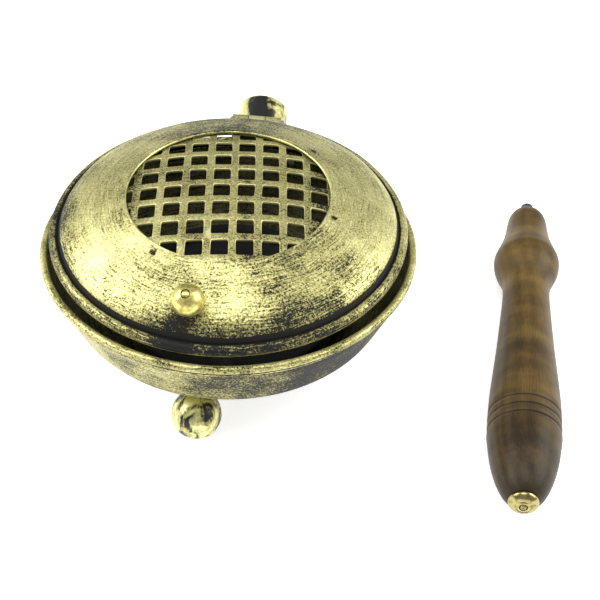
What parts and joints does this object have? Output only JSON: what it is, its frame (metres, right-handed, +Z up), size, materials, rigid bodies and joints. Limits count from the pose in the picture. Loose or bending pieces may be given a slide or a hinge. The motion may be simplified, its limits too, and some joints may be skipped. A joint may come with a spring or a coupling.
{
  "type": "handled charcoal burner",
  "caption": "Round footed charcoal burner with a hinged domed lid, lattice vent, rear handle socket and an unscrewed turned wooden handle beside it",
  "frame": {"origin": "centre of the bowl's flat underside, on the bowl's axis; the table it stands on is 14.7 mm below", "axes": "+Z up along the bowl's axis, +Y from that axis to the hinge and handle socket at the back, +X to the side where the handle lies"},
  "size_m": [0.186, 0.1699, 0.0692],
  "materials": {
    "bowl_gold": "dry-brushed pale gold over blue-black, satin",
    "lid_gold": "dry-brushed pale gold over blue-black, satin",
    "grille_gold": "dry-brushed pale gold over blue-black, satin",
    "foot_gold": "coarse gold daubs over blue-black, satin",
    "socket_gold": "coarse gold daubs over blue-black, satin",
    "bracket_gold": "worn pale gold over blue-black, satin",
    "knob_gold": "smooth pale gold, satin",
    "rivet_steel": "blackened steel rivet with gold rubbed on",
    "plain_steel": "plain steel, dulled",
    "dark_steel": "dark threaded steel rod",
    "pan_black": "sooty black, matt",
    "walnut_wood": "walnut-stained turned wood, satin varnish",
    "polished_brass": "polished brass"
  },
  "bodies": {
    "burner": {"bowl": "bowl_gold", "foot_front": "foot_gold", "foot_right": "foot_gold", "foot_left": "foot_gold", "foot_rivet_front": "rivet_steel", "foot_rivet_right": "rivet_steel", "foot_rivet_left": "rivet_steel", "hinge_bracket": "bracket_gold", "bracket_rivet_upper_left": "rivet_steel", "bracket_rivet_lower_left": "rivet_steel", "bracket_rivet_upper_right": "rivet_steel", "bracket_rivet_lower_right": "rivet_steel", "socket_tube": "socket_gold", "socket_nut": "plain_steel", "hinge_pin": "plain_steel"},
    "pan": {"ember_pan": "pan_black"},
    "cover": {"lid": "lid_gold", "grille": "grille_gold", "lid_hinge_leaf": "bracket_gold", "lid_rivet_left": "rivet_steel", "lid_rivet_right": "rivet_steel", "knob": "knob_gold", "knob_collar": "pan_black", "knob_washer": "plain_steel", "knob_screw": "plain_steel"},
    "handle": {"handle_grip": "walnut_wood", "handle_rod": "dark_steel", "butt_cap": "polished_brass"}
  },
  "joints": [
    {"name": "lid_hinge", "type": "hinge", "parent": "burner", "child": "cover", "pos_m": [0, 0.068, 0.0358], "axis": [-1, 0, 0], "range_deg": [0, 100]},
    {"name": "pan_lift", "type": "slide", "parent": "burner", "child": "pan", "axis": [0, 0, 1], "range_m": [0, 0.03]},
    {"name": "handle_turn", "type": "hinge", "parent": "burner", "child": "handle", "pos_m": [0.10426, -0.07486, -0.0023], "axis": [0.0375, 0.9993, 0], "continuous": true}
  ]
}
